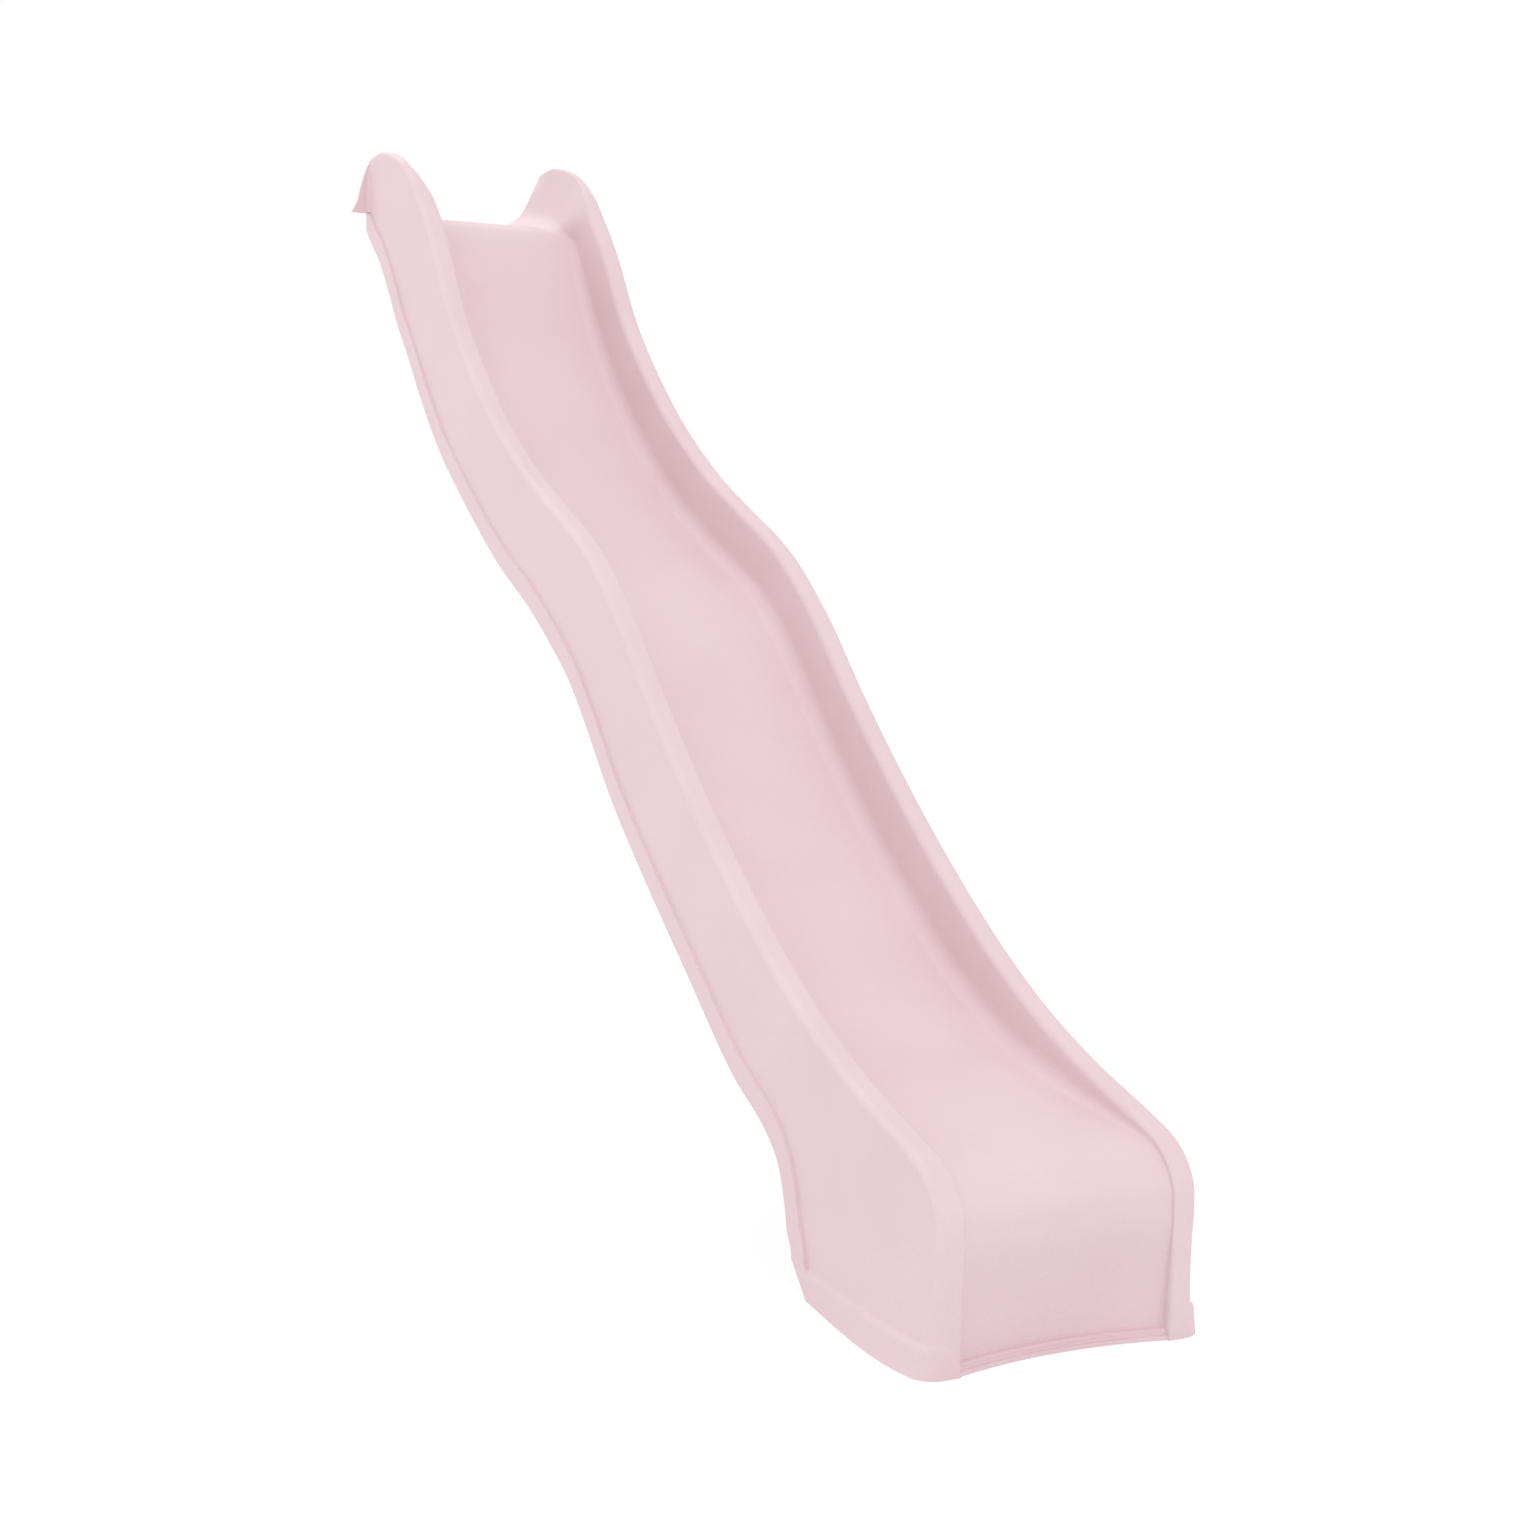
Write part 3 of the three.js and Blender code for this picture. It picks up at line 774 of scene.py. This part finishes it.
# The screws are zinc-plated steel wood screws, 6 mm thick and 50 mm long, with a cross recess in a pan head.
# Their thread is rolled: a sharp ridge that winds up from the point, with a plain shank above it.
thread_crest = 0.0030
thread_core = 0.0021
thread_pitch = 0.0026
thread_flank_share = 0.3
thread_end = -0.014
thread_start = 0.001
thread_run_in = 0.004
thread_run_out = 0.003
screw_length = 0.050
point_length = 0.009
point_radius = 0.0004
point_steps = 24
core_rows = 81
core_row = 0.00033
shank_radius = 0.0022
neck = [(shank_radius, -0.0008), (0.00232, -0.0004), (0.0027, -0.0001), (0.0032, 0)]
head_seat = cup_seat + cup_floor + seat_gap
head_radius = 0.006
head_height = 0.003
head_edge = 0.0002
head_side = 0.0009
head_dome_share = 0.75
head_dome_steps = 10
recess_depth = 0.0019
recess_reach = 0.0031
recess_half = 0.00065
recess_overrun = 0.001
screw_sides = 32
zinc_dull = (0.56, 0.575, 0.60, 1)
zinc_bright = (0.71, 0.72, 0.74, 1)
zinc_span = (0.35, 0.65)
zinc_roughness = (0.24, 0.40)
zinc_cloud_scale = 240
drawn_line_scale = (300, 300, 5200)
drawn_line_depth = 0.00005

point_start = point_radius - screw_length
screw_profile = [(0, -screw_length), (point_radius, point_start)]
screw_profile += [
    (
        point_radius + (thread_core - point_radius) * k / point_steps,
        point_start + (point_length - point_radius) * k / point_steps,
    )
    for k in range(1, point_steps + 1)
]
screw_profile += [(thread_core, point_length - screw_length + core_row * k) for k in range(1, core_rows + 1)]
screw_profile += [(shank_radius, thread_end)] + neck
screw_profile += [(head_radius - head_edge, 0), (head_radius, head_edge), (head_radius, head_side)]
screw_profile += [
    (
        head_radius * math.cos(turn) ** head_dome_share,
        head_side + (head_height - head_side) * math.sin(turn) ** head_dome_share,
    )
    for turn in quarter_turn(head_dome_steps)[1:-1]
]
screw_profile += [(0, head_height)]


def thread_height(x, y, z):
    """How far the thread stands up from the core, for a point of the core below the plain shank."""
    turn = (z / thread_pitch - math.atan2(y, x) / math.tau) % 1
    ridge = max(0, 1 - abs(turn - 0.5) / thread_flank_share)
    runs_in = smooth_share((z + screw_length - thread_start) / thread_run_in)
    runs_out = smooth_share((thread_end - z) / thread_run_out)
    return (thread_crest - thread_core) * ridge * runs_in * runs_out


def recess_cutter(place):
    """The cross that the driver fits, drawn as one arm's corners turned round to the other three."""
    arm = [(recess_half, recess_reach), (recess_half, recess_half), (recess_reach, recess_half)]
    cross = []
    for _ in range(4):
        cross += arm
        arm = [(y, -x) for x, y in arm]
    top = head_seat + head_height + recess_overrun
    outline = [Vector((place.x + x, place.y + y, top)) for x, y in cross]
    return plate("recess", outline, Vector((0, 0, -recess_depth - recess_overrun)), lambda co: False)


def deck_screw(place):
    screw = turned("screw", screw_profile, screw_sides, place, head_seat)
    for v in screw.data.vertices:
        across = Vector((v.co.x - place.x, v.co.y - place.y, 0))
        level = v.co.z - head_seat
        if level < thread_end and across.length > 0:
            v.co += across.normalized() * thread_height(across.x, across.y, level)
    combine(screw, recess_cutter(place), "DIFFERENCE")
    dress(screw)
    return screw


def zinc_plated_steel(name):
    """Bright zinc: a cool grey that clouds a little, with fine drawn lines around the axis."""
    material = bpy.data.materials.new(name)
    material.use_nodes = True
    tree = material.node_tree
    place = tree.nodes.new("ShaderNodeTexCoord").outputs["Object"]
    clouds = noise(tree, place, zinc_cloud_scale, detail=4)
    stretched = tree.nodes.new("ShaderNodeMapping")
    drawn = feed(tree, stretched, {"Vector": place, "Scale": drawn_line_scale})["Vector"]
    lines = noise(tree, drawn, 1, detail=2)
    shader = {
        "Metallic": 1,
        "Base Color": coloured(tree, clouds, zinc_span, zinc_dull, zinc_bright),
        "Roughness": spread(tree, clouds, zinc_roughness),
        "Normal": relief(tree, lines, 0.25, drawn_line_depth),
    }
    feed(tree, tree.nodes["Principled BSDF"], shader)
    return material


screw_steel = zinc_plated_steel("zinc_plated_steel")
for number, place in enumerate(screw_places, 1):
    screw = deck_screw(place)
    screw.data.materials.clear()
    screw.data.materials.append(screw_steel)
    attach(screw, "root")
    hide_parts(f"deck_screw_{number}")


# The studio: a pale floor that keeps a soft shadow of the chute, and even light all round from a white
# world. To the camera, floor and world show white. The floor lights the chute's undersides from below.
floor_half = 30
floor_pale = (0.80, 0.80, 0.80, 1)
floor_faint = (0.26, 0.26, 0.26, 1)
floor_glow = 0.82
world_light = 0.88
white = (1, 1, 1, 1)


def seen_directly(tree):
    """One for rays from the camera and those that metal and glass pass on, and zero for all others."""
    rays = tree.nodes.new("ShaderNodeLightPath").outputs
    seen = rays["Is Camera Ray"]
    for passed_on in ("Is Glossy Ray", "Is Transmission Ray"):
        either = tree.nodes.new("ShaderNodeMath")
        either.operation = "MAXIMUM"
        seen = feed(tree, either, {0: seen, 1: rays[passed_on]})[0]
    return seen


def lit_or_shown(tree, lit, shown):
    """What lights the chute for most rays, and what the camera sees for the others."""
    return feed(tree, tree.nodes.new("ShaderNodeMixShader"), {0: seen_directly(tree), 1: lit, 2: shown})[0]


def studio_white(name):
    material = bpy.data.materials.new(name)
    material.use_nodes = True
    tree = material.node_tree
    tree.nodes.clear()
    lit = feed(tree, tree.nodes.new("ShaderNodeBsdfDiffuse"), {"Color": floor_pale})[0]
    faint = feed(tree, tree.nodes.new("ShaderNodeBsdfDiffuse"), {"Color": floor_faint})[0]
    glow = feed(tree, tree.nodes.new("ShaderNodeEmission"), {"Color": white, "Strength": floor_glow})[0]
    shown = feed(tree, tree.nodes.new("ShaderNodeAddShader"), {0: faint, 1: glow})[0]
    surface = lit_or_shown(tree, lit, shown)
    feed(tree, tree.nodes.new("ShaderNodeOutputMaterial"), {"Surface": surface})
    return material


bm = bmesh.new()
bmesh.ops.create_grid(bm, x_segments=1, y_segments=1, size=floor_half)
floor = mesh_object("floor", bm)
floor.data.materials.append(studio_white("studio_floor"))

world = bpy.data.worlds.new("studio")
bpy.context.scene.world = world
world.use_nodes = True
tree = world.node_tree
around = feed(tree, tree.nodes["Background"], {"Color": white, "Strength": world_light})[0]
backdrop = feed(tree, tree.nodes.new("ShaderNodeBackground"), {"Color": white, "Strength": 1})[0]
feed(tree, tree.nodes["World Output"], {"Surface": lit_or_shown(tree, around, backdrop)})

# Six soft boxes model the chute: low ones in front and at its left, one overhead, and two behind it that
# light the slope. All but the left one are aimed at the chute's middle.
chute_middle = (0, 0, 0.8)
softboxes = [
    # name, place, aim, width, height and power
    ("left_low_box", (-6.0, 0.7, 0.45), (0, 0.7, 0.45), 2.4, 0.9, 48),
    ("front_box", (0.0, -6.0, 3.6), chute_middle, 1.2, 2.0, 46),
    ("front_low_box", (0.0, -6.5, 0.45), chute_middle, 3.0, 0.9, 18),
    ("top_box", (0.0, 0.0, 7.0), chute_middle, 1.2, 4.0, 32),
    ("rear_box", (0.0, 4.6, 5.0), chute_middle, 2.0, 2.0, 36),
    ("rear_left_box", (-3.4, 4.4, 4.9), chute_middle, 2.6, 2.6, 22),
]
for name, place, aim, width, height, power in softboxes:
    light = bpy.data.lights.new(name, "AREA")
    light.shape = "RECTANGLE"
    light.size = width
    light.size_y = height
    light.energy = power
    lamp = bpy.data.objects.new(name, light)
    lamp.location = place
    lamp.rotation_euler = (Vector(aim) - Vector(place)).to_track_quat("-Z", "Y").to_euler()
    bpy.context.scene.collection.objects.link(lamp)

bpy.context.scene.view_settings.view_transform = "Standard"

# The camera stands in front of the foot, to its left, a little under a metre above the ground.
camera_place = (-1.48583, -3.15804, 0.93141)
azimuth, elevation, roll = math.radians(-27.51135), math.radians(5.82726), math.radians(1.19742)
focal_share = 2280 / 1536
sensor_width = 36
level = math.cos(elevation)
back = Vector((math.sin(azimuth) * level, -math.cos(azimuth) * level, math.sin(elevation)))
right = Vector((math.cos(azimuth), math.sin(azimuth), 0))
up = back.cross(right)
rolled_right = right * math.cos(roll) + up * math.sin(roll)
rolled_up = up * math.cos(roll) - right * math.sin(roll)
turn = Matrix((rolled_right, rolled_up, back)).transposed().to_4x4()
lens = bpy.data.cameras.new("camera")
lens.sensor_width = sensor_width
lens.lens = focal_share * sensor_width
camera = bpy.data.objects.new("camera", lens)
camera.matrix_world = Matrix.Translation(camera_place) @ turn
bpy.context.scene.collection.objects.link(camera)
bpy.context.scene.camera = camera
